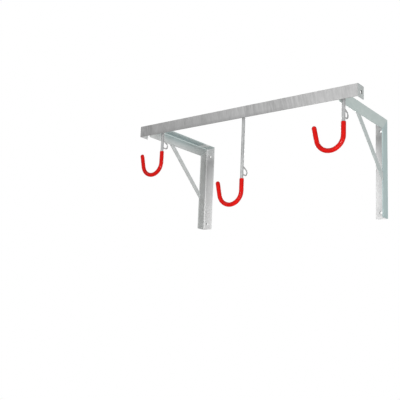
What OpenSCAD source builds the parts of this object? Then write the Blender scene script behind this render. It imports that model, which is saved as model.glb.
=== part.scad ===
// Wall-mounted bike rack: an angle rail on two braced brackets, with three
// coated J-hooks that turn in the rail. Millimetres, +Z up, wall at Y = 0,
// the room towards -Y. The origin is the middle of the four wall holes.

/* [Rail] */
// Overall length of the rail, with its end plates
rail_length = 950; // [800:1:1200]
// Height of the rail's front leg
rail_height = 44; // [38:1:60]
// Depth of the rail's top leg
rail_depth = 44; // [40:1:60]
// Thickness of the rail's steel
rail_thickness = 4; // [3:0.5:6]
// Thickness of the plates that close the rail's ends
end_plate_thickness = 3; // [2:0.5:6]
// Diameter of the hole in each end plate
end_hole_d = 14; // [8:0.5:16]
// Distance from the wall to the rail's front face
reach = 405; // [350:1:480]

/* [Brackets] */
// Rail left over outside the left bracket
left_overhang = 44; // [20:1:90]
// Rail left over outside the right bracket
right_overhang = 66; // [40:1:110]
// Width of both legs of the brackets' angle steel
angle_width = 44; // [36:1:50]
// Thickness of the brackets' angle steel
angle_thickness = 4; // [3:0.5:6]
// Height of each bracket at the wall
leg_height = 376; // [340:1:450]
// Diameter of the wall holes
wall_hole_d = 10; // [8:0.5:12]
// Top of the bracket to the upper wall hole
upper_hole_drop = 42; // [30:1:55]
// Lower wall hole to the foot of the bracket
lower_hole_rise = 24; // [18:1:40]

/* [Braces] */
// Width of the flat bar
brace_width = 20; // [16:1:40]
// Thickness of the flat bar
brace_thickness = 4; // [3:0.5:6]
// Wall to the brace's outer corner under the arm
brace_on_arm = 266; // [230:1:300]
// Top of the bracket to the brace's outer corner on the leg
brace_on_leg = 240; // [210:1:300]

/* [Hooks] */
// Diameter of the hook rods
rod_d = 12; // [10:0.5:14]
// Rail's front face to the axis of the rods
rod_setback = 18; // [15:0.5:26]
// Left bracket's inner edge to the left rod
left_rod_gap = 14; // [5:1:40]
// Right bracket's outer face to the right rod
right_rod_gap = 2; // [1:0.5:20]
// How much lower the middle hook hangs than the other two
middle_extra = 153; // [100:1:200]
// Radius of the bend at the middle of the rod
bend_radius = 48.5; // [40:0.5:60]
// Lean of the open end, in degrees from upright
tip_lean = 12; // [5:1:20]
// Straight length of the open end above the bend
tip_length = 47; // [35:1:60]
// Wall of the plastic sleeve
sleeve_wall = 2.25; // [1.5:0.25:4]
// Rounding of the sleeve's upper edge
sleeve_lip = 1.2; // [0.5:0.1:1.4]
// Top of the sleeve above the underside of the hook
sleeve_height = 101; // [90:1:140]

/* [Lock eyes] */
// Diameter of the wire
eye_wire_d = 5; // [4:0.5:7]
// Axis of the rod to the outer side of the eye
eye_reach = 35; // [30:1:45]
// Overall height of the eye where it meets the rod
eye_height = 38; // [34:1:60]
// Radius of the eye's bends at the middle of the wire
eye_bend = 10; // [8:0.5:12]
// Slope of the eye's upper side, in degrees
eye_slope = 24; // [15:1:30]
// Underside of the arms to the top of the upper eyes
eye_drop = 16; // [8:1:40]
// Bare rod between an eye and the sleeve below it
eye_gap = 14; // [3:1:20]

/* [Swivels] */
// Diameter of the turned end that passes through the rail
pin_d = 8; // [6:0.5:9]
// Diameter of the washer under the riveted end
pivot_washer_d = 18; // [14:0.5:22]
// Thickness of that washer
pivot_washer_t = 1.6; // [1:0.1:2.5]
// Diameter of the riveted end
rivet_d = 13; // [11:0.5:15]
// Height of the riveted end
rivet_height = 3; // [2:0.5:5]

/* [Fasteners] */
// Diameter of the bolts that hold the rail on the arms
bolt_d = 8; // [6:0.5:10]
// Width across the flats of their heads and nuts
bolt_flats = 13; // [12:0.5:17]
// Height of the bolt heads
bolt_head_height = 5.3; // [4:0.1:7]
// Height of the nuts
nut_height = 6.5; // [5:0.1:8]
// Length of bolt below the nut
bolt_end = 3; // [1:0.5:8]
// Diameter of the bolts' washers
bolt_washer_d = 16; // [15:0.5:20]
// Thickness of the bolts' washers
bolt_washer_t = 1.6; // [1:0.1:2.5]

/* [Hidden] */
$fn = 64;

// Root fillet and toe radius of rolled angle steel
root_radius = 5;
toe_radius = 2;
// Running gap of the turned pin in the rail, and of the hook's faces above and below it
pin_clearance = 0.25;
swivel_gap = 0.3;
// Gap between pieces that are pushed together by hand, and at a coped weld
seat_gap = 0.3;
weld_gap = 0.05;
// Room of a bolt in its hole, and how far a cut runs past the face it opens
bolt_clearance = 0.5;
past = 1;
// Chamfer on the corners of bolt heads and nuts
hex_chamfer = 0.8;
// Band round the joint of a bend and a leaning straight: half its length, how far
// it stands out, and the gap that it bridges on each side
joint_half = 0.3;
joint_proud = 0.02;
joint_gap = 0.05;

// Heights, from the middle of the wall holes
hole_spacing = leg_height - upper_hole_drop - lower_hole_rise;
bracket_top = hole_spacing / 2 + upper_hole_drop;
rail_top = bracket_top + rail_thickness;
leg_bottom = bracket_top - leg_height;
arm_underside = bracket_top - angle_width;

// Depths, from the wall
rail_front = -reach;
rod_y = rail_front + rod_setback;
arm_front = rail_front + rail_thickness + root_radius + seat_gap;
bolt_y = rail_front + (rail_thickness + rail_depth) / 2;

// Places along the rail, with the two brackets mirrored about X = 0
bracket_span = rail_length - left_overhang - right_overhang;
bracket_left = -bracket_span / 2;
bracket_right = bracket_span / 2;
rail_left = bracket_left - left_overhang;
hole_inset = (angle_thickness + angle_width) / 2;
left_rod_x = bracket_left + angle_width + left_rod_gap + rod_d / 2;
right_rod_x = bracket_right + right_rod_gap + rod_d / 2;
middle_rod_x = (left_rod_x + right_rod_x) / 2;
rod_xs = [left_rod_x, middle_rod_x, right_rod_x];

// Hooks: the upper ones hang clear below the arms, the middle one lower
sleeve_d = rod_d + 2 * sleeve_wall;
upper_eye_top = arm_underside - eye_drop;
upper_sleeve_top = upper_eye_top - eye_height - eye_gap;
upper_hook_z = upper_sleeve_top - sleeve_height + sleeve_d / 2 + bend_radius;
middle_hook_z = upper_hook_z - middle_extra;
sleeve_top = sleeve_height - sleeve_d / 2 - bend_radius;
shoulder_z = rail_top - rail_thickness - swivel_gap;

// One leg of a rolled angle, along +X from the heel, with its rounded toe
module leg_section(width, thickness) {
    difference() {
        translate([0, -thickness]) square([width, thickness]);
        translate([width - toe_radius, -thickness]) difference() {
            translate([0, -past]) square(toe_radius + past);
            translate([0, toe_radius]) circle(toe_radius);
        }
    }
}

// Rolled angle with its heel at the origin and its legs along +X and -Y
module angle_section(width, height, thickness) {
    leg_section(width, thickness);
    mirror([1, 1, 0]) leg_section(height, thickness);
    translate([thickness, -thickness - root_radius]) difference() {
        square(root_radius);
        translate([root_radius, 0]) circle(root_radius);
    }
}

// Turns an outline drawn as (Y, Z) into a solid of the given width along +X
module along_x(width) {
    rotate([90, 0, 90]) linear_extrude(width) children();
}

// Turns an outline drawn as (X, Z) into a solid of the given depth along -Y
module along_minus_y(depth) {
    rotate([90, 0, 0]) linear_extrude(depth) children();
}

// Corner cut away at the top back corner of a bracket: below or above the mitre
module mitre_cut(above) {
    far = angle_width + 2 * past;
    along_x(angle_width + 2 * past)
        polygon([[0, 0], [-far, -far], above ? [-far, past] : [past, -far], [past, past]]);
}

module hexagon(flats, height) {
    intersection() {
        cylinder(h = height, d = flats / cos(30), $fn = 6);
        union() {
            corner_d = flats / cos(30);
            cylinder(h = height - hex_chamfer, d = corner_d + past);
            translate([0, 0, height - hex_chamfer])
                cylinder(h = hex_chamfer, d1 = corner_d, d2 = corner_d - 2 * hex_chamfer);
        }
    }
}

module washer(outer_d, inner_d, thickness) {
    difference() {
        cylinder(h = thickness, d = outer_d);
        translate([0, 0, -past]) cylinder(h = thickness + 2 * past, d = inner_d);
    }
}

// Rail: a length of angle, drilled in its top leg for the rods and the bolts
module rail() {
    color("#b4b5b4") difference() {
        translate([rail_left + end_plate_thickness, rail_front, rail_top])
            along_x(rail_length - 2 * end_plate_thickness)
                angle_section(rail_depth, rail_height, rail_thickness);
        for (x = rod_xs)
            translate([x, rod_y, rail_top - rail_thickness - past])
                cylinder(h = rail_thickness + 2 * past, d = pin_d + 2 * pin_clearance);
        for (side = [-1, 1])
            translate([side * (bracket_span / 2 - hole_inset), bolt_y, rail_top - rail_thickness - past])
                cylinder(h = rail_thickness + 2 * past, d = bolt_d + 2 * bolt_clearance);
    }
}

// Plate across one end of the rail, drilled in the middle of the open part
module end_plate(x) {
    hole_y = (rail_thickness + rail_depth) / 2;
    hole_z = (rail_thickness + rail_height) / 2;
    color("#b4b5b4") translate([x, rail_front, rail_top]) along_x(end_plate_thickness)
        difference() {
            translate([0, -rail_height]) square([rail_depth, rail_height]);
            translate([hole_y, -hole_z]) circle(d = end_hole_d);
        }
}

// Arm of the left bracket, mitred at the wall and drilled for the rail's bolt
module arm() {
    color("#afbab8") difference() {
        translate([bracket_left, 0, bracket_top])
            along_minus_y(-arm_front)
                angle_section(angle_width, angle_width, angle_thickness);
        translate([bracket_left - past, 0, bracket_top]) mitre_cut(false);
        translate([bracket_left + hole_inset, bolt_y, bracket_top - angle_thickness - past])
            cylinder(h = angle_thickness + 2 * past, d = bolt_d + 2 * bolt_clearance);
    }
}

// Leg of the left bracket, mitred at the top and drilled for two wall screws
module wall_leg() {
    color("#c9cccb") difference() {
        translate([bracket_left, 0, leg_bottom])
            linear_extrude(leg_height)
                angle_section(angle_width, angle_width, angle_thickness);
        translate([bracket_left - past, 0, bracket_top]) mitre_cut(true);
        for (side = [-1, 1])
            translate([bracket_left + hole_inset, past, side * hole_spacing / 2])
                rotate([90, 0, 0]) cylinder(h = angle_thickness + 2 * past, d = wall_hole_d);
    }
}

// Flat bar in the plane of the side legs, cut to fit under the arm and against the leg
module brace() {
    run = brace_on_arm - angle_width;
    drop = brace_on_leg - angle_width;
    slope = atan2(drop, run);
    color("#b9c0be") translate([bracket_left, 0, bracket_top]) along_x(brace_thickness)
        polygon([
            [-brace_on_arm, -angle_width],
            [-brace_on_arm + brace_width / sin(slope), -angle_width],
            [-angle_width, -brace_on_leg + brace_width / cos(slope)],
            [-angle_width, -brace_on_leg]
        ]);
}

// Places its children at the two bolts, on the rail's top face
module at_bolts() {
    for (side = [-1, 1])
        translate([side * (bracket_span / 2 - hole_inset), bolt_y, rail_top]) children();
}

module rail_bolts() {
    grip = rail_thickness + angle_thickness + bolt_washer_t + nut_height + bolt_end;
    color("#c8ccd0") at_bolts() {
        translate([0, 0, bolt_washer_t]) hexagon(bolt_flats, bolt_head_height);
        translate([0, 0, -grip]) cylinder(h = grip + bolt_washer_t, d = bolt_d);
    }
}

module rail_bolt_washers() {
    color("#b8bcc0") at_bolts() {
        washer(bolt_washer_d, bolt_d + bolt_clearance, bolt_washer_t);
        translate([0, 0, -rail_thickness - angle_thickness - bolt_washer_t])
            washer(bolt_washer_d, bolt_d + bolt_clearance, bolt_washer_t);
    }
}

module rail_bolt_nuts() {
    under = rail_thickness + angle_thickness + bolt_washer_t;
    color("#c8ccd0") at_bolts() translate([0, 0, -under]) mirror([0, 0, 1]) difference() {
        hexagon(bolt_flats, nut_height);
        translate([0, 0, -past]) cylinder(h = nut_height + 2 * past, d = bolt_d + 2 * weld_gap);
    }
}

// Part of a bend in the X-Z plane round the Y axis, from +X downwards
module bend_down(bend, angle, r) {
    rotate([-90, 0, 0]) rotate_extrude(angle = angle) translate([bend, 0]) circle(r);
}

// Angle by which a bend stops short of the straight that follows it
function short(bend) = joint_gap / bend * 180 / PI;

// Narrow band round the joint of a bend and a straight that leans
module joint_band(r) {
    translate([0, 0, -joint_half]) cylinder(h = 2 * joint_half, r = r + joint_proud);
}

// Rod of radius r bent into a J: the shank stands on the Z axis, the bend's
// centre is level with Z = 0, and the open end leans out on the -X side; lip
// rounds the top of the shank
module j_shape(r, top, lip = 0) {
    if (lip > 0)
        rotate_extrude() {
            square([r, top - lip]);
            square([r - lip, top]);
            translate([r - lip, top - lip]) circle(lip);
        }
    else
        cylinder(h = top, r = r);
    translate([-bend_radius, 0, 0]) {
        bend_down(bend_radius, 180 - tip_lean - short(bend_radius), r);
        rotate([0, -tip_lean, 0]) translate([-bend_radius, 0, 0]) {
            joint_band(r);
            rotate_extrude() intersection() {
                union() {
                    square([r, tip_length]);
                    translate([0, tip_length]) circle(r);
                }
                translate([0, joint_gap]) square([r, tip_length + r]);
            }
        }
    }
}

// Steel hook rod with its turned pin and riveted end above the rail; the pin
// starts inside the shank and ends inside the riveted end
module hook_rod(x, z) {
    pin_top = rail_top + pivot_washer_t + swivel_gap;
    color("#a9aaa9") {
        translate([x, rod_y, z]) j_shape(rod_d / 2, shoulder_z - z);
        translate([x, rod_y, shoulder_z - past])
            cylinder(h = pin_top - shoulder_z + past + rivet_height / 4, d = pin_d);
        translate([x, rod_y, pin_top])
            rotate_extrude() intersection() {
                dome_r = (rivet_d * rivet_d / 4 + rivet_height * rivet_height) / (2 * rivet_height);
                translate([0, rivet_height - dome_r]) circle(dome_r);
                square([rivet_d / 2, rivet_height]);
            }
    }
}

// Plastic sleeve drawn over the J, closed round the open end
module hook_sleeve(x, z) {
    color("#dc1e14") translate([x, rod_y, z]) difference() {
        j_shape(sleeve_d / 2, sleeve_top, sleeve_lip);
        j_shape(rod_d / 2 + weld_gap, sleeve_top + past);
    }
}

// Bent wire along +X from the origin, up, and back over the start at a slope
module eye_wire(r) {
    out = eye_reach - r - eye_bend;
    turn = 90 - eye_slope;
    back = out + eye_bend * cos(turn);
    rise = eye_height - eye_wire_d - back * tan(eye_slope) - eye_bend * sin(turn) - eye_bend;
    rotate([0, 90, 0]) cylinder(h = out, r = r);
    translate([out, 0, eye_bend]) {
        bend_down(eye_bend, 90, r);
        translate([eye_bend, 0, 0]) cylinder(h = rise, r = r);
        translate([0, 0, rise]) {
            rotate([180, 0, 0]) bend_down(eye_bend, turn - short(eye_bend), r);
            rotate([0, -turn, 0]) translate([eye_bend, 0, 0]) {
                joint_band(r);
                translate([0, 0, joint_gap]) cylinder(h = back / cos(eye_slope), r = r);
            }
        }
    }
}

// Wire eye that points to the wall, with both ends coped to the rod
module lock_eye(x, z) {
    low = z + sleeve_top + eye_gap + eye_wire_d / 2;
    color("#9fa1a1") translate([x, rod_y, low]) difference() {
        rotate([0, 0, 90]) eye_wire(eye_wire_d / 2);
        translate([0, 0, -eye_height])
            cylinder(h = 3 * eye_height, d = rod_d + 2 * weld_gap);
        translate([-eye_wire_d, -eye_reach, -eye_height])
            cube([2 * eye_wire_d, eye_reach, 3 * eye_height]);
    }
}

module pivot_washer(x) {
    color("#b8bcc0") translate([x, rod_y, rail_top])
        washer(pivot_washer_d, pin_d + 2 * pin_clearance, pivot_washer_t);
}

rail();
end_plate(rail_left);  // end_plate_left
end_plate(rail_left + rail_length - end_plate_thickness);  // end_plate_right
arm();  // left_arm
wall_leg();  // left_wall_leg
brace();  // left_brace
mirror([1, 0, 0]) arm();  // right_arm
mirror([1, 0, 0]) wall_leg();  // right_wall_leg
mirror([1, 0, 0]) brace();  // right_brace
rail_bolts();
rail_bolt_washers();
rail_bolt_nuts();
hook_rod(left_rod_x, upper_hook_z);  // left_hook_rod
hook_sleeve(left_rod_x, upper_hook_z);  // left_hook_sleeve
lock_eye(left_rod_x, upper_hook_z);  // left_lock_eye
pivot_washer(left_rod_x);  // left_pivot_washer
hook_rod(middle_rod_x, middle_hook_z);  // middle_hook_rod
hook_sleeve(middle_rod_x, middle_hook_z);  // middle_hook_sleeve
lock_eye(middle_rod_x, middle_hook_z);  // middle_lock_eye
pivot_washer(middle_rod_x);  // middle_pivot_washer
hook_rod(right_rod_x, upper_hook_z);  // right_hook_rod
hook_sleeve(right_rod_x, upper_hook_z);  // right_hook_sleeve
lock_eye(right_rod_x, upper_hook_z);  // right_lock_eye
pivot_washer(right_rod_x);  // right_pivot_washer
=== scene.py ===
"""Wall-mounted bike rack: finishes, weld beads, threads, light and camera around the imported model.

Metres. +X runs along the rail, +Y goes into the wall, +Z is up, and the origin is the middle of
the wall holes.
"""
import math

import bpy
from mathutils import Matrix, Vector


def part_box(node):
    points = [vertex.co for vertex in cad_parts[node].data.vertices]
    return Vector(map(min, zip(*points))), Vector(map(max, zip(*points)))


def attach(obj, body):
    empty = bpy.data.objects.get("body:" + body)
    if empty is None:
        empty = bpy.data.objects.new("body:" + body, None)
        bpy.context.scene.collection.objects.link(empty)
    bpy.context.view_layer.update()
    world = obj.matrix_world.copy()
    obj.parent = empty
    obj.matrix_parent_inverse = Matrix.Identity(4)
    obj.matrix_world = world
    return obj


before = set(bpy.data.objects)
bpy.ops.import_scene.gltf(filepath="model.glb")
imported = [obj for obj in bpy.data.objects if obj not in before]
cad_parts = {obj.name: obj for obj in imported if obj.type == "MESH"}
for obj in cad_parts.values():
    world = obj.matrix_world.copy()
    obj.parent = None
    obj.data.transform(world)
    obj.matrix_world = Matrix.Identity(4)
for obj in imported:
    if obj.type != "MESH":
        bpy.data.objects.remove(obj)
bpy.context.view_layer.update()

MM = 0.001

# Sizes of the rack, in millimetres, as in the part
RAIL_FRONT = -405
RAIL_THICKNESS = 4
RAIL_DEPTH = 44
RAIL_HEIGHT = 44
BRACKET_TOP = 197
RAIL_TOP = BRACKET_TOP + RAIL_THICKNESS
BRACKET_X = 420
WALL_HOLE_X = 396
WALL_HOLE_Z = 155
WALL_HOLE_RADIUS = 5
END_HOLE_INSET = 24
END_HOLE_Y = RAIL_FRONT + END_HOLE_INSET
END_HOLE_Z = RAIL_TOP - END_HOLE_INSET
END_HOLE_RADIUS = 7
ANGLE_WIDTH = 44
ANGLE_THICKNESS = 4
ROOT_RADIUS = 5
BRACE_ON_ARM = 266
BRACE_ON_LEG = 240
BRACE_WIDTH = 20
BRACE_THICKNESS = 4
BRACE_SLOPE = math.atan2(BRACE_ON_LEG - ANGLE_WIDTH, BRACE_ON_ARM - ANGLE_WIDTH)
ROD_Y = -387
ROD_RADIUS = 6
SLEEVE_TOP = 44.25
EYE_GAP = 14
EYE_WIRE_D = 5
EYE_HEIGHT = 38
EYE_SLOPE = math.radians(24)
BOLT_X = BRACKET_X - (ANGLE_THICKNESS + ANGLE_WIDTH) / 2
BOLT_Y = RAIL_FRONT + (RAIL_THICKNESS + RAIL_DEPTH) / 2
BOLT_RADIUS = 4
BOLT_END = 3
WASHER_THICKNESS = 1.6
NUT_HEIGHT = 6.5
NUT_UNDERSIDE = RAIL_TOP - RAIL_THICKNESS - ANGLE_THICKNESS - WASHER_THICKNESS - NUT_HEIGHT
THREAD_PITCH = 1.25
LEG_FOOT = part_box("right_wall_leg")[0].z / MM

# For each hook the X of its rod and the height of its bend's middle
HOOKS = {"left": (-356, 40.75), "middle": (36, -112.25), "right": (428, 40.75)}


# Colours and nodes

def metres(*places):
    """Places given in millimetres, in metres."""
    return [place * MM for place in places]


def linear(hex_colour):
    """sRGB hex to the linear colour that the shader takes."""
    parts = [int(hex_colour[i:i + 2], 16) / 255 for i in (1, 3, 5)]
    return [c / 12.92 if c <= 0.04045 else ((c + 0.055) / 1.055) ** 2.4 for c in parts] + [1.0]


def add(tree, kind, sockets=None, **settings):
    """Adds one node. settings are its properties; sockets are its inputs, each an output to link,
    an sRGB hex colour or a plain value."""
    node = tree.nodes.new(kind)
    for key, value in settings.items():
        setattr(node, key, value)
    for key, value in (sockets or {}).items():
        if isinstance(value, bpy.types.NodeSocket):
            tree.links.new(value, node.inputs[key])
        else:
            node.inputs[key].default_value = linear(value) if isinstance(value, str) else value
    return node


def new_material(name):
    """An empty material, and the Object coordinates that its patterns follow."""
    material = bpy.data.materials.new(name)
    material.use_nodes = True
    tree = material.node_tree
    tree.nodes.clear()
    return material, tree, add(tree, "ShaderNodeTexCoord").outputs["Object"]


def grain(tree, place, size_mm, detail=2.0, roughness=0.5, turn=(0, 0, 0)):
    """Noise whose patches are size_mm long along each axis, after turning the axes."""
    turned = add(tree, "ShaderNodeMapping", {
        "Vector": place,
        "Rotation": turn,
    }, vector_type="POINT")
    scaled = add(tree, "ShaderNodeMapping", {
        "Vector": turned.outputs[0],
        "Scale": [1 / (MM * size) for size in size_mm],
    }, vector_type="POINT")
    noise = add(tree, "ShaderNodeTexNoise", {
        "Vector": scaled.outputs[0],
        "Scale": 1.0,
        "Detail": detail,
        "Roughness": roughness,
    })
    return noise.outputs["Fac"]


def layered(tree, ground, *layers):
    """Lays tones over a ground tone, one after another. A layer is the value that it follows, that
    value where the layer begins and where it is full, how much it covers there, and its tone."""
    for value, (begins, full), cover, tone in layers:
        share = add(tree, "ShaderNodeMapRange", {
            "Value": value,
            "From Min": begins, "From Max": full,
            "To Min": 0.0, "To Max": cover,
        }).outputs["Result"]
        mix = add(tree, "ShaderNodeMix", {0: share, 6: ground, 7: tone}, data_type="RGBA")
        ground = mix.outputs[2]
    return ground


def distance(tree, coordinate, mm):
    """How far a coordinate, taken without its sign, lies from a place in millimetres."""
    for operation, sockets in (("ABSOLUTE", {}), ("SUBTRACT", {1: mm * MM}), ("ABSOLUTE", {})):
        sockets[0] = coordinate
        coordinate = add(tree, "ShaderNodeMath", sockets, operation=operation).outputs[0]
    return coordinate


def tones(tree, coordinate, stops):
    """Tones along a coordinate, from stops of a place in millimetres and its colour."""
    first, last = stops[0][0], stops[-1][0]
    begins, ends = metres(first, last)
    ramp = add(tree, "ShaderNodeValToRGB", {
        0: add(tree, "ShaderNodeMapRange", {
            "Value": coordinate, "From Min": begins, "From Max": ends,
        }).outputs["Result"],
    })
    marks = ramp.color_ramp.elements
    for number, (mm, colour) in enumerate(stops):
        position = (mm - first) / (last - first)
        mark = marks[0] if number == 0 else marks[-1] if mm == last else marks.new(position)
        mark.position = position
        mark.color = linear(colour)
    return ramp.outputs["Color"]


def skin(tree, colour, roughness, relief, relief_mm, sockets=None):
    """Ends a finish with its shader: colour, roughness, bumps relief_mm high from a pattern, and
    other sockets. roughness is a number, or a pattern with its ends and the roughness at each."""
    if isinstance(roughness, tuple):
        pattern, (low, high), (smoothest, roughest) = roughness
        roughness = add(tree, "ShaderNodeMapRange", {
            "Value": pattern,
            "From Min": low, "From Max": high,
            "To Min": smoothest, "To Max": roughest,
        }).outputs["Result"]
    shader = add(tree, "ShaderNodeBsdfPrincipled", {
        "Base Color": colour,
        "Roughness": roughness,
        "Normal": add(tree, "ShaderNodeBump", {
            "Height": relief,
            "Distance": relief_mm * MM,
        }).outputs["Normal"],
        **(sockets or {}),
    })
    add(tree, "ShaderNodeOutputMaterial", {"Surface": shader.outputs["BSDF"]})


# Finishes

ZINC_DULL = "#7c7c7c"
# The dark grey of the painted shade in the walls of punched holes
HOLE_WALL_SHADE = "#262828"

# The painted shade on the wall of a punched hole starts this far outside its radius, and is full
# here
HOLE_WALL_SHADE_BEGINS, HOLE_WALL_SHADE_FULL = 0.3, 0.1


def shade_hole_wall(tree, colour, first, second, radius):
    """Paints shade on the walls of punched holes, a dark grey. first and second are each a
    coordinate and a place on it in millimetres, taken without its sign."""
    offset = add(tree, "ShaderNodeCombineXYZ", {
        number: distance(tree, coordinate, mm)
        for number, (coordinate, mm) in enumerate((first, second))
    }).outputs[0]
    from_centre = add(tree, "ShaderNodeVectorMath", {0: offset}, operation="LENGTH")
    shaded_wall = metres(radius + HOLE_WALL_SHADE_BEGINS, radius + HOLE_WALL_SHADE_FULL)
    return layered(tree, colour, (from_centre.outputs["Value"], shaded_wall, 1, HOLE_WALL_SHADE))


# The zinc's streaks lean by this much from square across the rail, in radians
STREAKS_LEAN = (0, 0.2, 0)

# The rail's painted shade and light: it is darker to the left and lighter to the right. The share of
# the right end's tones is the way
# along the rail to this power: little before the middle, then ever more
SHADE_TO_LIGHT_POWER = 2.2

# How strongly the runs of zinc show along the rail, from black for not at all to white
RUNS_ALONG = ((-80, "#000000"), (40, "#ffffff"), (270, "#ffffff"), (420, "#a0a0a0"))

# The rail's foot is darker from 14 mm above its lower edge, and in full at 3 mm
FOOT_BEGINS, FOOT_FULL = 14, 3

# An end plate's inner face is lighter with painted light within a tenth of the plate's thickness, in
# full within a twentieth, and its front edge has a tone of its own within half a millimetre
FACE_BEGINS, FACE_FULL = 0.1, 0.05
PLATE_EDGE = metres(RAIL_FRONT + 0.5, RAIL_FRONT + 0.2)


def galvanised_steel(name, left, right, plate=None):
    """Hot-dip galvanised angle, wiped as it left the bath: matt grey zinc with fine streaks across
    the rail's length and wider, cloudy bands. The streaks are 7 mm apart; the fine ones 1.3 mm.
    left and right are the dull and the bright tone at the rail's ends: the left end is darker with
    painted shade and the right end lighter with painted light. On the rail, runs of zinc 5 mm apart
    stand out in the middle, and the lower edge is darker on the left. plate names the end plate that
    it is for, whose inner face is lighter with painted light, whose front edge has a plain tone, and
    whose punched hole has painted shade on its wall."""
    material, tree, place = new_material(name)
    x, y, z = add(tree, "ShaderNodeSeparateXYZ", {0: place}).outputs
    streaks = grain(tree, place, (7, 40, 40), detail=4, roughness=0.65, turn=STREAKS_LEAN)
    fine = grain(tree, place, (1.3, 25, 25), detail=2)
    bands = grain(tree, place, (60, 160, 160), detail=2)
    low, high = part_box("rail")
    from_left = add(tree, "ShaderNodeMapRange", {
        "Value": x, "From Min": low.x, "From Max": high.x,
    }).outputs["Result"]
    # Painted shade on the left that turns into painted light on the right: the right end's share
    # along the rail
    shade_to_light = add(tree, "ShaderNodeMath", {
        0: from_left, 1: SHADE_TO_LIGHT_POWER,
    }, operation="POWER").outputs[0]
    dull, bright = (
        layered(tree, at_left, (shade_to_light, (0, 1), 1, at_right))
        for at_left, at_right in zip(left, right))
    colour = layered(
        tree, dull,
        (bands, (0.38, 0.62), 0.6, bright),
        (streaks, (0.4, 0.66), 0.75, bright),
        (fine, (0.5, 0.8), 0.35, ZINC_DULL))
    if plate:
        # Painted light on the plate's inner face, and on its front edge a plain tone that follows
        # the painted shade and light along the rail
        inner, outer = sorted((corner.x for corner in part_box(plate)), key=abs)
        inner_face = [inner + (outer - inner) * share for share in (FACE_BEGINS, FACE_FULL)]
        edge_tone = layered(tree, "#858585", (shade_to_light, (0, 1), 1, "#989999"))
        colour = layered(tree, colour, (x, inner_face, 1, "#dcdcdc"), (y, PLATE_EDGE, 1, edge_tone))
        # Painted shade on the wall of the plate's hole
        colour = shade_hole_wall(tree, colour, (y, -END_HOLE_Y), (z, END_HOLE_Z), END_HOLE_RADIUS)
    else:
        runs = grain(tree, place, (5, 60, 60), detail=2, turn=STREAKS_LEAN)
        strong = tones(tree, x, RUNS_ALONG)
        for ends, most, tone in (((0.5, 0.66), 0.13, "#cfcfcf"), ((0.5, 0.34), 0.3, ZINC_DULL)):
            cover = add(tree, "ShaderNodeMath", {0: strong, 1: most}, operation="MULTIPLY")
            colour = layered(tree, colour, (runs, ends, cover.outputs[0], tone))
        foot = (low.z + FOOT_BEGINS * MM, low.z + FOOT_FULL * MM)
        fading = add(tree, "ShaderNodeMapRange", {
            "Value": shade_to_light,
            "From Min": 0.35, "From Max": 0.6,
            "To Min": 0.5, "To Max": 0.0,
        }).outputs["Result"]
        colour = layered(tree, colour, (z, foot, fading, ZINC_DULL))
    skin(tree, colour, (streaks, (0.3, 0.7), (0.42, 0.58)), fine, 0.06, {"Metallic": 0.55})
    return material


# How bright zinc shines: its metallic share, and its least and greatest roughness. The arms and
# braces are satin, the legs duller
SATIN = (0.4, (0.28, 0.38))
DULL = (0.2, (0.48, 0.58))

# A leg's side flange, where its tint starts 1.5 mm before the flange's inner face
SIDE_FLANGE = metres(BRACKET_X - ANGLE_THICKNESS - 1.5, BRACKET_X - ANGLE_THICKNESS)

# Where the tones of an arm change, each from where a tone begins to where it is full: by height, the
# painted light on its lower edge and the top flange's underside
LOWER_EDGE = metres(BRACKET_TOP - 12, BRACKET_TOP - 38)
TOP_FLANGE = metres(BRACKET_TOP - 5.5, BRACKET_TOP - 4.5)

# Along Y: a greyer, darker tone by the wall, painted light at the front end by the rail, and on the
# underside a painted light patch and painted shade in the corner
BY_THE_WALL = metres(-200, -40)
BY_THE_RAIL = metres(RAIL_FRONT + 115, RAIL_FRONT + 35)
PAINTED_LIGHT_PATCH = metres(-84, -62)
PAINTED_CORNER_SHADE = metres(-48, -34)

# By how far from the inner faces' corner: across the underside, whose painted shade fades from the
# root, and the root's painted highlight all round
UNDERSIDE = metres(3, 50)
ROOT_HIGHLIGHT = metres(3.9, 3.2)


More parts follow.
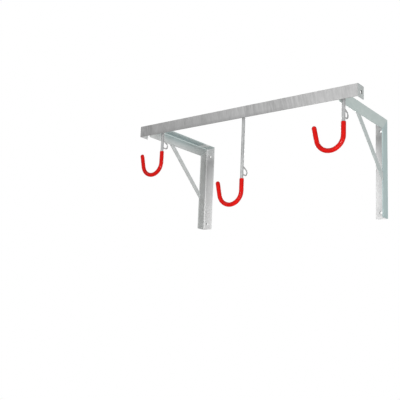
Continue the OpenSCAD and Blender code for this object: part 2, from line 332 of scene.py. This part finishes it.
def bright_zinc(name, turn, first, second, gloss=SATIN, wall_flange=None, arm=None):
    """Electroplated bright zinc on drawn steel: satin, with faint lines along the bar and a cool,
    bluish-green passivation tint that clouds over 30 to 50 mm. The drawn lines are 0.8 mm apart.
    first and second are the two tones of the clouds. wall_flange gives the plain greys of a leg's
    wall flange by height, without the tint: painted shade under the upper hole and painted light by
    the corner and lower down. The walls of its punched holes get painted shade. arm gives the tones
    of an arm's underside by the root, which are painted shade, its lower edge, painted light, its
    end at the wall, its front end, painted light, and its root, a painted highlight. The underside
    has a painted light patch near the wall that ends before painted shade in the corner."""
    material, tree, place = new_material(name)
    drawn = grain(tree, place, (0.8, 0.8, 55), detail=2, turn=turn)
    clouds = grain(tree, place, (38, 38, 70), detail=3, turn=turn)
    specks = grain(tree, place, (2.2, 2.2, 2.8), detail=4, roughness=0.6)
    tint = layered(tree, first, (clouds, (0.34, 0.66), 1, second))
    if wall_flange or arm:
        x, y, z = add(tree, "ShaderNodeSeparateXYZ", {0: place}).outputs
    if wall_flange:
        # The wall flange's greys by height are painted shade and light
        aside = add(tree, "ShaderNodeMath", {0: x}, operation="ABSOLUTE").outputs[0]
        tint = layered(
            tree, tones(tree, z, wall_flange),
            (specks, (0.48, 0.66), 0.3, "#8d8d8d"),
            (aside, SIDE_FLANGE, 1, tint))
    if arm:
        underside, lower_edge, by_the_wall, by_the_rail, root = arm
        across = distance(tree, x, BRACKET_X - ANGLE_THICKNESS)
        below = distance(tree, z, BRACKET_TOP - ANGLE_THICKNESS)
        from_root = add(tree, "ShaderNodeMath", {0: across, 1: below}, operation="MAXIMUM")
        # The underside: painted shade by the root, a painted light patch, and painted shade in the
        # corner
        under = layered(
            tree, underside,
            (across, UNDERSIDE, 1, tint),
            (y, PAINTED_LIGHT_PATCH, 1, "#d0d3d2"),
            (y, PAINTED_CORNER_SHADE, 1, "#a6b1b0"))
        # Painted light on the lower edge and the front end, and a painted highlight on the root
        tint = layered(
            tree, tint,
            (z, LOWER_EDGE, 1, lower_edge),
            (y, BY_THE_WALL, 1, by_the_wall),
            (z, TOP_FLANGE, 1, under),
            (y, BY_THE_RAIL, 1, by_the_rail),
            (from_root.outputs[0], ROOT_HIGHLIGHT, 1, root))
    colour = layered(tree, tint, (specks, (0.55, 0.8), 0.35, "#d3dad8"))
    if wall_flange:
        # Painted shade on the walls of the wall holes
        colour = shade_hole_wall(tree, colour, (x, WALL_HOLE_X), (z, WALL_HOLE_Z), WALL_HOLE_RADIUS)
    metallic, roughness = gloss
    skin(tree, colour, (clouds, (0.3, 0.7), roughness), drawn, 0.03, {"Metallic": metallic})
    return material


def drawn_round_bar():
    """Cold-drawn round bar under thin zinc: plain grey and smooth, with fine lines along the bar
    0.7 mm apart and faint clouds of 9 by 24 mm."""
    material, tree, place = new_material("drawn_zinc_plated_bar")
    lines = grain(tree, place, (0.7, 0.7, 40), detail=2)
    clouds = grain(tree, place, (9, 9, 24), detail=3)
    colour = layered(tree, "#929393", (clouds, (0.35, 0.65), 1, "#a5a6a6"))
    skin(tree, colour, 0.35, lines, 0.03, {"Metallic": 0.3})
    return material


def dipped_pvc():
    """Soft plasticised PVC, dipped and cured: saturated red, faintly cloudy over 22 mm, with a
    smooth half-gloss skin that ripples slightly over about 14 mm, and a fine orange peel of
    0.9 mm."""
    material, tree, place = new_material("dipped_red_pvc")
    ripple = grain(tree, place, (14, 14, 14), detail=1)
    peel = grain(tree, place, (0.9, 0.9, 0.9), detail=2)
    tone = grain(tree, place, (22, 22, 22), detail=2)
    low_peel = add(tree, "ShaderNodeMapRange", {
        "Value": peel,
        "From Min": 0.3, "From Max": 0.7,
        "To Min": 0.0, "To Max": 0.05,
    }).outputs["Result"]
    relief = add(tree, "ShaderNodeMath", {0: ripple, 1: low_peel}, operation="ADD").outputs[0]
    colour = layered(tree, "#b20b06", (tone, (0.35, 0.65), 1, "#bf0f09"))
    skin(tree, colour, (peel, (0.3, 0.7), (0.38, 0.46)), relief, 0.025, {
        "IOR": 1.53,
        "Specular IOR Level": 0.04,
        "Coat Weight": 0.12,
        "Coat Roughness": 0.05,
    })
    return material


def plated_fastener():
    """Bright zinc-plated fasteners, cold formed: cleaner and shinier than the bars, with small
    dull spots of 1.6 mm."""
    material, tree, place = new_material("bright_zinc_fasteners")
    spots = grain(tree, place, (1.6, 1.6, 1.6), detail=3)
    colour = layered(tree, "#c9cdd0", (spots, (0.4, 0.7), 1, "#b4babd"))
    skin(tree, colour, (spots, (0.35, 0.7), (0.24, 0.36)), spots, 0.02, {"Metallic": 0.85})
    return material


def plated_weld():
    """Weld metal under the same zinc as the steel round it: about as light but rougher than the
    bars, pitted over 0.8 mm and cloudy over 6 mm."""
    material, tree, place = new_material("zinc_plated_weld")
    pits = grain(tree, place, (0.8, 0.8, 0.8), detail=3)
    clouds = grain(tree, place, (6, 6, 6), detail=2)
    colour = layered(tree, "#b0b6b5", (clouds, (0.35, 0.65), 1, "#c6cac9"))
    skin(tree, colour, (pits, (0.3, 0.7), (0.4, 0.55)), pits, 0.1, {"Metallic": 0.4})
    return material


# Finishes on the CAD pieces

# How the grain's long side is turned to lie along a piece
UPRIGHT = (0, 0, 0)
FORE_AND_AFT = (math.pi / 2, 0, 0)
DOWN_THE_BRACE = (math.pi / 2 - BRACE_SLOPE, 0, 0)

# The rail's dull and bright tone at its left end, darker with painted shade, at its right end,
# lighter with painted light, and on the plates' right, also painted light
LEFT_SHADED_GREYS = ("#7d7d7d", "#9b9b9b")
RIGHT_LIT_GREYS = ("#999999", "#afafaf")
PLATE_LIT_GREYS = ("#a4a9a8", "#babfbe")

# The wall flanges' greys by height are painted shade and light: painted shade under the upper hole,
# painted light by the corner and lower down. The right one is lighter at the foot
HOLE_SHADE = BRACKET_TOP - 67
CORNER_LIGHT = BRACKET_TOP - 35
RIGHT_FLANGE_SHADING = (
    (LEG_FOOT + 14, "#cacaca"), (LEG_FOOT + 70, "#dfdfdf"), (LEG_FOOT + 128, "#d8d8d8"),
    (35, "#cecece"), (85, "#c6c6c6"), (HOLE_SHADE, "#a1a1a1"), (CORNER_LIGHT, "#c0c0c0"))
LEFT_FLANGE_SHADING = ((LEG_FOOT + 119, "#cccccc"), (HOLE_SHADE, "#a1a1a1"), (CORNER_LIGHT, "#c5c5c5"))

round_bar = drawn_round_bar()
red_pvc = dipped_pvc()
fasteners = plated_fastener()
weld_metal = plated_weld()

FINISHES = {
    "rail": galvanised_steel("hot_dip_galvanised_angle", LEFT_SHADED_GREYS, RIGHT_LIT_GREYS),
    "end_plate_left": galvanised_steel(
        "hot_dip_galvanised_left_plate", LEFT_SHADED_GREYS, PLATE_LIT_GREYS, "end_plate_left"),
    "end_plate_right": galvanised_steel(
        "hot_dip_galvanised_right_plate", LEFT_SHADED_GREYS, PLATE_LIT_GREYS, "end_plate_right"),
    # The left arm's tones: painted shade on the underside by the root, painted light on the lower
    # edge, a greyer end at the wall, painted light at the front end, and a painted highlight on the
    # root. Its clouds are lighter than the right arm's: painted light on its inner faces
    "left_arm": bright_zinc(
        "bright_zinc_left_arm", FORE_AND_AFT, "#b2bebd", "#bcc7c6",
        arm=("#8b9c9d", "#c1c4c3", "#a6aaa9", "#c6c8c7", "#c3cecd")),
    "right_arm": bright_zinc("bright_zinc_right_arm", FORE_AND_AFT, "#a9b7b4", "#b6c1be"),
    "left_wall_leg": bright_zinc(
        "bright_zinc_left_leg", UPRIGHT, "#9a9c9a", "#a7a9a8", DULL, LEFT_FLANGE_SHADING),
    "right_wall_leg": bright_zinc(
        "bright_zinc_right_leg", UPRIGHT, "#a1b3b3", "#abbdbc", DULL, RIGHT_FLANGE_SHADING),
    # The left brace is lighter and greyer than the right one: painted light on its inner face
    "left_brace": bright_zinc("bright_zinc_left_brace", DOWN_THE_BRACE, "#b7bab9", "#c3c6c5"),
    "right_brace": bright_zinc("bright_zinc_right_brace", DOWN_THE_BRACE, "#a6afad", "#b2b9b8"),
    "rail_bolts": fasteners, "rail_bolt_washers": fasteners, "rail_bolt_nuts": fasteners,
}
for side in HOOKS:
    FINISHES[side + "_hook_rod"] = FINISHES[side + "_lock_eye"] = round_bar
    FINISHES[side + "_hook_sleeve"] = red_pvc
    FINISHES[side + "_pivot_washer"] = fasteners
for node_name, finish in FINISHES.items():
    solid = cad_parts[node_name]
    solid.data.materials.clear()
    solid.data.materials.append(finish)


# Making pieces

# Faces that meet at less than this angle are shaded as one surface
SMOOTH_BELOW = math.radians(50)


def deselect():
    bpy.ops.object.select_all(action="DESELECT")


def keep(piece, name, body, material):
    """Names a finished piece, brings its object to the origin, and ties it to its body and slot."""
    deselect()
    bpy.context.view_layer.objects.active = piece
    piece.select_set(True)
    bpy.ops.object.transform_apply(location=True, rotation=True, scale=True)
    piece.name = piece.data.name = name
    piece.data.materials.clear()
    piece.data.materials.append(material)
    bpy.ops.object.shade_smooth_by_angle(angle=SMOOTH_BELOW)
    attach(piece, body)
    deselect()


# A bead's ripples are about this far apart in millimetres. Its widths are shares of its full width
RIPPLE = 2.4
LEAST_RIPPLES = 4
BEAD_CORNERS = 10
BEAD_BEGINS, BEAD_WAIST, BEAD_ENDS = 0.55, 0.86, 0.5


def weld_bead(name, start, end, radius):
    """A run of weld on the frame from start to end, in millimetres: a round bead that swells at
    each ripple."""
    start, end = Vector(start) * MM, Vector(end) * MM
    run = end - start
    ripples = max(LEAST_RIPPLES, round(run.length / (RIPPLE * MM)))
    step = run / (2 * ripples)
    widths = [1.0, BEAD_WAIST] * ripples
    widths[-1] = BEAD_ENDS
    deselect()
    bpy.ops.mesh.primitive_circle_add(
        vertices=BEAD_CORNERS, radius=radius * MM * BEAD_BEGINS, fill_type="NGON",
        location=start, rotation=run.to_track_quat("Z", "Y").to_euler())
    bead = bpy.context.object
    bpy.ops.object.mode_set(mode="EDIT")
    bpy.ops.mesh.select_all(action="SELECT")
    before = BEAD_BEGINS
    for number, width in enumerate(widths, 1):
        bpy.ops.mesh.extrude_region_move(TRANSFORM_OT_translate={"value": step})
        share = width / before
        bpy.ops.transform.resize(value=(share, share, share), center_override=start + step * number)
        before = width
    bpy.ops.mesh.select_all(action="SELECT")
    bpy.ops.mesh.normals_make_consistent(inside=False)
    bpy.ops.object.mode_set(mode="OBJECT")
    rounding = bead.modifiers.new("rounding", "SUBSURF")
    rounding.levels = rounding.render_levels = 1
    bpy.ops.object.modifier_apply(modifier=rounding.name)
    keep(bead, name, "frame", weld_metal)


# The ring of weld round the end of an eye's wire: the radius of its middle line and of its own
# section, in millimetres, its sections, their corners, and the width of every second section
RING_RADIUS = 2.7
RING_THICKNESS = 0.9
RING_SECTIONS = 24
RING_CORNERS = 8
RING_WAIST = 0.84

# What lies this near a section's middle, in ring thicknesses, and to its direction, in radians,
# belongs to it
SECTION_REACH = 1.1
SECTION_ANGLE = 0.05


def weld_ring(name, centre, stretch, body):
    """A fillet of weld where the end of an eye's wire meets the rod, as a ring whose thickness
    swells at each ripple. stretch makes it taller where the wire leans."""
    deselect()
    bpy.ops.mesh.primitive_torus_add(
        major_segments=RING_SECTIONS, minor_segments=RING_CORNERS,
        major_radius=RING_RADIUS * MM, minor_radius=RING_THICKNESS * MM)
    ring = bpy.context.object
    bpy.ops.object.mode_set(mode="EDIT")
    for number in range(0, RING_SECTIONS, 2):
        angle = 2 * math.pi * number / RING_SECTIONS
        middle = Vector((math.cos(angle), math.sin(angle), 0)) * RING_RADIUS * MM
        bpy.ops.mesh.select_all(action="DESELECT")
        bpy.ops.object.mode_set(mode="OBJECT")
        for vertex in ring.data.vertices:
            direction = math.atan2(vertex.co.y, vertex.co.x) % (2 * math.pi)
            near = (vertex.co - middle).length < SECTION_REACH * RING_THICKNESS * MM
            vertex.select = near and abs(direction - angle) < SECTION_ANGLE
        bpy.ops.object.mode_set(mode="EDIT")
        bpy.ops.transform.resize(value=(RING_WAIST,) * 3, center_override=middle)
    bpy.ops.object.mode_set(mode="OBJECT")
    turn = Vector((0, 1, 0)).to_track_quat("Z", "Y").to_matrix().to_4x4()
    place = Matrix.Translation(Vector(centre) * MM)
    ring.data.transform(place @ turn @ Matrix.Diagonal((1, stretch, 1, 1)))
    keep(ring, name, body, weld_metal)


# The thread's ridge starts this deep inside the bolt's radius, in millimetres
THREAD_SINK = 0.35
THREAD_STEPS = 40


def thread(name, x):
    """The turns of thread on the end of a bolt below its nut."""
    turns = (BOLT_END - THREAD_PITCH) / THREAD_PITCH
    deselect()
    bpy.ops.mesh.primitive_circle_add(
        vertices=3, radius=0.5 * THREAD_PITCH * MM, fill_type="NOTHING",
        location=((BOLT_RADIUS - THREAD_SINK) * MM, 0, 0), rotation=(math.pi / 2, 0, 0))
    ridge = bpy.context.object
    bpy.ops.object.transform_apply(location=True, rotation=True, scale=True)
    winding = ridge.modifiers.new("winding", "SCREW")
    winding.axis = "Z"
    winding.angle = 2 * math.pi * turns
    winding.screw_offset = THREAD_PITCH * MM * turns
    winding.steps = winding.render_steps = THREAD_STEPS
    winding.use_merge_vertices = True
    bpy.ops.object.modifier_apply(modifier=winding.name)
    bpy.ops.object.mode_set(mode="EDIT")
    bpy.ops.mesh.select_all(action="SELECT")
    bpy.ops.mesh.fill_holes(sides=3)
    bpy.ops.mesh.select_all(action="SELECT")
    bpy.ops.mesh.normals_make_consistent(inside=False)
    bpy.ops.object.mode_set(mode="OBJECT")
    ridge.location = metres(x, BOLT_Y, NUT_UNDERSIDE - BOLT_END + 0.5 * THREAD_PITCH)
    keep(ridge, name, "frame", fasteners)


# Welds

# Radii of the beads, how far their middle line lies off the steel, and how far they stop before
# an edge, in millimetres
THIN_BEAD, PLATE_BEAD, CORNER_BEAD = 1.9, 2.0, 2.4
OFF_PLATE, OFF_CORNER = 0.4, 0.6
SHORT, PLATE_SHORT = 1, 3

# Inside the corner of each bracket, along the mitre of its side flanges and between its two other
# flanges, and along both ends of each brace; the outer faces are ground flush
root = ANGLE_THICKNESS + ROOT_RADIUS
corner = ANGLE_THICKNESS + OFF_CORNER
toe = ANGLE_WIDTH - SHORT
under_arm = BRACKET_TOP - ANGLE_WIDTH
brace_foot = BRACKET_TOP - BRACE_ON_LEG
on_arm = BRACE_WIDTH / math.sin(BRACE_SLOPE)
on_leg = BRACE_WIDTH / math.cos(BRACE_SLOPE)
for side, sign in (("left", -1), ("right", 1)):
    inner = sign * (BRACKET_X - ANGLE_THICKNESS)
    weld_bead(side + "_mitre_weld",
              (inner, -root, BRACKET_TOP - root), (inner, -toe, BRACKET_TOP - toe),
              THIN_BEAD)
    weld_bead(side + "_corner_weld",
              (sign * (BRACKET_X - root - SHORT), -corner, BRACKET_TOP - corner),
              (sign * (BRACKET_X - toe), -corner, BRACKET_TOP - corner),
              CORNER_BEAD)
    face = sign * (BRACKET_X - BRACE_THICKNESS)
    weld_bead(side + "_brace_arm_weld",
              (face, -BRACE_ON_ARM + SHORT, under_arm),
              (face, -BRACE_ON_ARM + on_arm - SHORT, under_arm),
              THIN_BEAD)
    weld_bead(side + "_brace_leg_weld",
              (face, -ANGLE_WIDTH, brace_foot + SHORT),
              (face, -ANGLE_WIDTH, brace_foot + on_leg - SHORT),
              THIN_BEAD)

# Inside each end plate, down the rail's front leg and back under its top leg
front = RAIL_FRONT + RAIL_THICKNESS + OFF_PLATE
under = RAIL_TOP - RAIL_THICKNESS - OFF_PLATE
for side, node_name, sign in (("left", "end_plate_left", 1), ("right", "end_plate_right", -1)):
    low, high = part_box(node_name)
    x = (high.x if sign > 0 else low.x) / MM + sign * OFF_PLATE
    weld_bead(side + "_plate_front_weld",
              (x, front, under - ROOT_RADIUS), (x, front, RAIL_TOP - RAIL_HEIGHT + PLATE_SHORT),
              PLATE_BEAD)
    weld_bead(side + "_plate_top_weld",
              (x, front + ROOT_RADIUS, under), (x, RAIL_FRONT + RAIL_DEPTH - PLATE_SHORT, under),
              PLATE_BEAD)

# Round both ends of each lock eye, a little inside the rod; the wire's upper end slopes
RING_SINK = 0.3
ring_y = ROD_Y + ROD_RADIUS - RING_SINK
for side, (x, bend_z) in HOOKS.items():
    low = bend_z + SLEEVE_TOP + EYE_GAP + EYE_WIRE_D / 2
    high = low + EYE_HEIGHT - EYE_WIRE_D - ROD_RADIUS * math.tan(EYE_SLOPE)
    weld_ring(side + "_eye_lower_weld", (x, ring_y, low), 1.0, side + "_hook")
    weld_ring(side + "_eye_upper_weld", (x, ring_y, high), 1 / math.cos(EYE_SLOPE), side + "_hook")

# Threads

for side, sign in (("left", -1), ("right", 1)):
    thread(side + "_bolt_thread", sign * BOLT_X)


# Floor, light and camera

FLOOR_Z = -1.9
FLOOR_SIZE = 10
FLOOR_GLOW = 0.35
SKY_AS_LIGHT = 0.4

deselect()
bpy.ops.mesh.primitive_plane_add(size=FLOOR_SIZE, location=(0, 0, FLOOR_Z))
floor = bpy.context.object
floor.name = floor.data.name = "floor"
floor_paint, floor_tree, _ = new_material("pale_floor")
floor_glow = add(floor_tree, "ShaderNodeMath", {
    0: add(floor_tree, "ShaderNodeLightPath").outputs["Is Camera Ray"], 1: FLOOR_GLOW,
}, operation="MULTIPLY")
floor_shader = add(floor_tree, "ShaderNodeBsdfPrincipled", {
    "Base Color": "#f2f2f2",
    "Roughness": 0.9,
    "Specular IOR Level": 0.2,
    "Emission Color": "#ffffff",
    "Emission Strength": floor_glow.outputs[0],
})
add(floor_tree, "ShaderNodeOutputMaterial", {"Surface": floor_shader.outputs["BSDF"]})
floor.data.materials.append(floor_paint)

# White to the eye and in reflections; a softer grey as light
world = bpy.data.worlds.new("studio")
bpy.context.scene.world = world
world.use_nodes = True
sky = world.node_tree
sky.nodes.clear()
rays = add(sky, "ShaderNodeLightPath").outputs
seen = rays["Is Camera Ray"]
for ray in ("Is Glossy Ray", "Is Transmission Ray"):
    seen = add(sky, "ShaderNodeMath", {0: seen, 1: rays[ray]}, operation="MAXIMUM").outputs[0]
strength = add(sky, "ShaderNodeMapRange", {"Value": seen, "To Min": SKY_AS_LIGHT, "To Max": 1.0})
background = add(sky, "ShaderNodeBackground", {
    "Color": "#ffffff",
    "Strength": strength.outputs["Result"],
})
add(sky, "ShaderNodeOutputWorld", {"Surface": background.outputs[0]})


def softbox(name, place, aim, width, height, power):
    """A soft lamp that the camera doesn't see. width and height in metres, power in watts."""
    lamp = bpy.data.lights.new(name, "AREA")
    lamp.shape = "RECTANGLE"
    lamp.size, lamp.size_y, lamp.energy = width, height, power
    box = bpy.data.objects.new(name, lamp)
    bpy.context.scene.collection.objects.link(box)
    box.location = place
    box.rotation_euler = (Vector(aim) - Vector(place)).to_track_quat("-Z", "Y").to_euler()
    box.visible_camera = False


# The rear one lights the wall side for views from behind, and hardly reaches the front
RACK = (0, -0.2, 0)
softbox("key", (-1.6, -2.6, 1.9), RACK, 1.6, 1.2, 18)
softbox("fill", (2.2, -1.8, -1.1), (-0.2, -0.2, 0), 1.4, 1.4, 46)
softbox("bounce", (0.35, -1.7, -0.6), (-0.42, -0.1, 0.1), 0.7, 0.7, 7)
softbox("front", (0.74, -2.5, -0.2), RACK, 0.2, 0.8, 14)
softbox("rear", (-1.3, 2.3, 0.9), RACK, 1.4, 1.0, 40)

# The camera that the rack's own edges give. The picture's width, the focal length and the point
# that the camera looks at are in its pixels, the turns in radians and the place in metres
PICTURE = 400
FOCAL = 656.794
LOOKS_AT = (150, 200)
YAW, PITCH, ROLL = -0.7318, 0.1828, 0.0591
CAMERA_PLACE = (1.3501, -2.3415, -0.5984)
view = bpy.data.cameras.new("camera")
view.sensor_width = 36
view.lens = FOCAL / PICTURE * view.sensor_width
view.shift_x = (PICTURE / 2 - LOOKS_AT[0]) / PICTURE
view.shift_y = (LOOKS_AT[1] - PICTURE / 2) / PICTURE
view.clip_end = 60
ahead = Vector((math.sin(YAW) * math.cos(PITCH), math.cos(YAW) * math.cos(PITCH), math.sin(PITCH)))
level = Vector((math.cos(YAW), -math.sin(YAW), 0))
upward = level.cross(ahead)
right = math.cos(ROLL) * level + math.sin(ROLL) * upward
over = -math.sin(ROLL) * level + math.cos(ROLL) * upward
camera = bpy.data.objects.new("camera", view)
bpy.context.scene.collection.objects.link(camera)
turn = Matrix((right, over, -ahead)).transposed().to_4x4()
camera.matrix_world = Matrix.Translation(CAMERA_PLACE) @ turn
bpy.context.scene.camera = camera

bpy.context.scene.view_settings.view_transform = "Standard"
